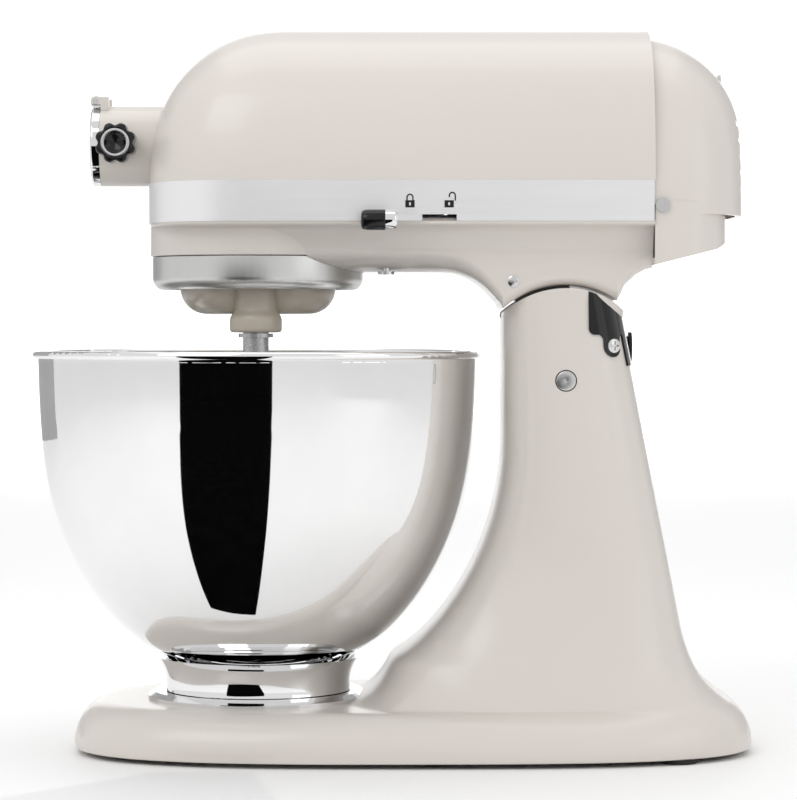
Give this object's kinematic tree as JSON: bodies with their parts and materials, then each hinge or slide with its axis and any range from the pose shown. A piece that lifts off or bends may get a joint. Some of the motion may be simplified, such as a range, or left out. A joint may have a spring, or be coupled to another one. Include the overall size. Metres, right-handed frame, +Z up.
{
  "type": "stand mixer",
  "caption": "Tilt-head stand mixer: curved pedestal, hinged motor head with planetary drive and attachment hub, and a deep polished bowl locked on a clamp plate.",
  "frame": {"origin": "on the rest plane, at the middle of the outline seen from above", "axes": "+Z up; the nose with its attachment hub points to -X and the column stands towards +X; the lock lever is on the -Y side and the speed lever on the +Y side"},
  "size_m": [0.3545, 0.2226, 0.3535],
  "materials": {
    "body_paint": "gloss enamel on die casting",
    "carrier_paint": "gloss enamel",
    "foot_rubber": "matt",
    "plate_chrome": "mirror",
    "band_satin": "satin",
    "ring_satin": "satin",
    "bowl_steel": "mirror polished stainless",
    "screw_steel": "zinc plated",
    "rod_chrome": "mirror",
    "black_plastic": "gloss",
    "black_rubber": "matt",
    "board_plastic": "matt",
    "fan_plastic": "matt",
    "carbon": "matt",
    "brass_parts": "satin",
    "copper_parts": "satin copper",
    "gear_bronze": "machined bronze",
    "gear_steel": "machined",
    "bracket_alloy": "cast"
  },
  "bodies": {
    "pedestal": {"pedestal_casting": "body_paint", "rubber_feet": "foot_rubber", "bowl_clamp_plate": "plate_chrome", "clamp_plate_screws": "screw_steel", "hinge_pin": "screw_steel", "rear_cover": "black_plastic", "cord_gland": "black_rubber", "rear_cover_screws": "screw_steel", "lock_catch": "screw_steel"},
    "head": {"upper_housing": "body_paint", "lower_housing": "body_paint", "end_cover": "body_paint", "end_cover_screw": "screw_steel", "trim_band": "band_satin", "band_screws": "screw_steel", "drip_ring": "ring_satin", "ring_gear": "gear_steel", "centre_bearing": "gear_bronze", "idler_bearing": "gear_bronze", "hub_bearing": "gear_bronze", "motor_stator": "gear_steel", "field_windings": "copper_parts", "motor_brushes": "carbon", "brush_holders": "brass_parts", "motor_bearings": "gear_steel", "front_bearing_bracket": "bracket_alloy", "rear_bearing_bracket": "bracket_alloy", "speed_control_plate": "board_plastic", "underside_screw": "screw_steel", "hub_cap_pin": "screw_steel"},
    "planetary": {"planetary_carrier": "carrier_paint", "centre_shaft": "gear_steel", "centre_gear": "gear_steel", "centre_bevel": "gear_steel"},
    "agitator": {"agitator_shaft": "gear_steel", "agitator_pinion": "gear_steel", "agitator_pin": "gear_steel", "agitator_collar": "gear_steel"},
    "idler": {"idler_shaft": "gear_steel", "idler_pinion": "gear_steel", "worm_wheel": "gear_bronze"},
    "armature": {"armature_shaft": "gear_steel", "armature_core": "gear_steel", "commutator": "copper_parts", "cooling_fan": "fan_plastic", "governor_disc": "fan_plastic"},
    "hub_drive": {"hub_drive_shaft": "gear_steel", "hub_bevel": "gear_steel"},
    "hub_cap": {"hub_cap": "plate_chrome"},
    "hub_knob": {"hub_knob": "black_plastic", "hub_knob_stem": "screw_steel"},
    "lock_lever": {"lock_knob": "black_plastic", "lock_rod": "rod_chrome"},
    "speed_lever": {"speed_knob": "black_plastic", "speed_link": "rod_chrome"},
    "bowl": {"bowl_shell": "bowl_steel", "bowl_foot": "bowl_steel"}
  },
  "joints": [
    {"name": "head_tilt", "type": "hinge", "parent": "pedestal", "child": "head", "pos_m": [0.0845, 0, 0.1822], "axis": [0, 1, 0], "range_deg": [0, 40]},
    {"name": "bowl_twist", "type": "hinge", "parent": "pedestal", "child": "bowl", "pos_m": [-0.0655, 0, 0.03], "axis": [0, 0, 1], "range_deg": [0, 20]},
    {"name": "idler_spin", "type": "hinge", "parent": "head", "child": "idler", "pos_m": [-0.02513, 0.0295, 0.304], "axis": [0, 0, 1], "continuous": true},
    {"name": "planetary_spin", "type": "hinge", "parent": "head", "child": "planetary", "pos_m": [-0.0655, 0, 0.24], "axis": [0, 0, 1], "continuous": true},
    {"name": "agitator_spin", "type": "hinge", "parent": "planetary", "child": "agitator", "pos_m": [-0.0655, -0.02475, 0.2], "axis": [0, 0, 1], "continuous": true},
    {"name": "armature_spin", "type": "hinge", "parent": "head", "child": "armature", "pos_m": [0.05, 0, 0.304], "axis": [1, 0, 0], "continuous": true},
    {"name": "hub_spin", "type": "hinge", "parent": "head", "child": "hub_drive", "pos_m": [-0.1, 0, 0.2971], "axis": [1, 0, 0], "continuous": true},
    {"name": "hub_cap_hinge", "type": "hinge", "parent": "head", "child": "hub_cap", "pos_m": [-0.1447, 0, 0.3187], "axis": [0, 1, 0], "range_deg": [0, 110]},
    {"name": "hub_knob_turn", "type": "hinge", "parent": "head", "child": "hub_knob", "pos_m": [-0.133, -0.03, 0.2971], "axis": [0, 1, 0], "range_deg": [0, 720]},
    {"name": "lock_slide", "type": "slide", "parent": "head", "child": "lock_lever", "axis": [1, 0, 0], "range_m": [0, 0.016]},
    {"name": "speed_slide", "type": "slide", "parent": "head", "child": "speed_lever", "axis": [-1, 0, 0], "range_m": [0, 0.05]}
  ],
  "couplings": [
    {"joint": "planetary_spin", "follows": "idler_spin", "ratio": -0.25},
    {"joint": "agitator_spin", "follows": "idler_spin", "ratio": 0.8},
    {"joint": "armature_spin", "follows": "idler_spin", "ratio": -15},
    {"joint": "hub_spin", "follows": "idler_spin", "ratio": 0.5}
  ]
}
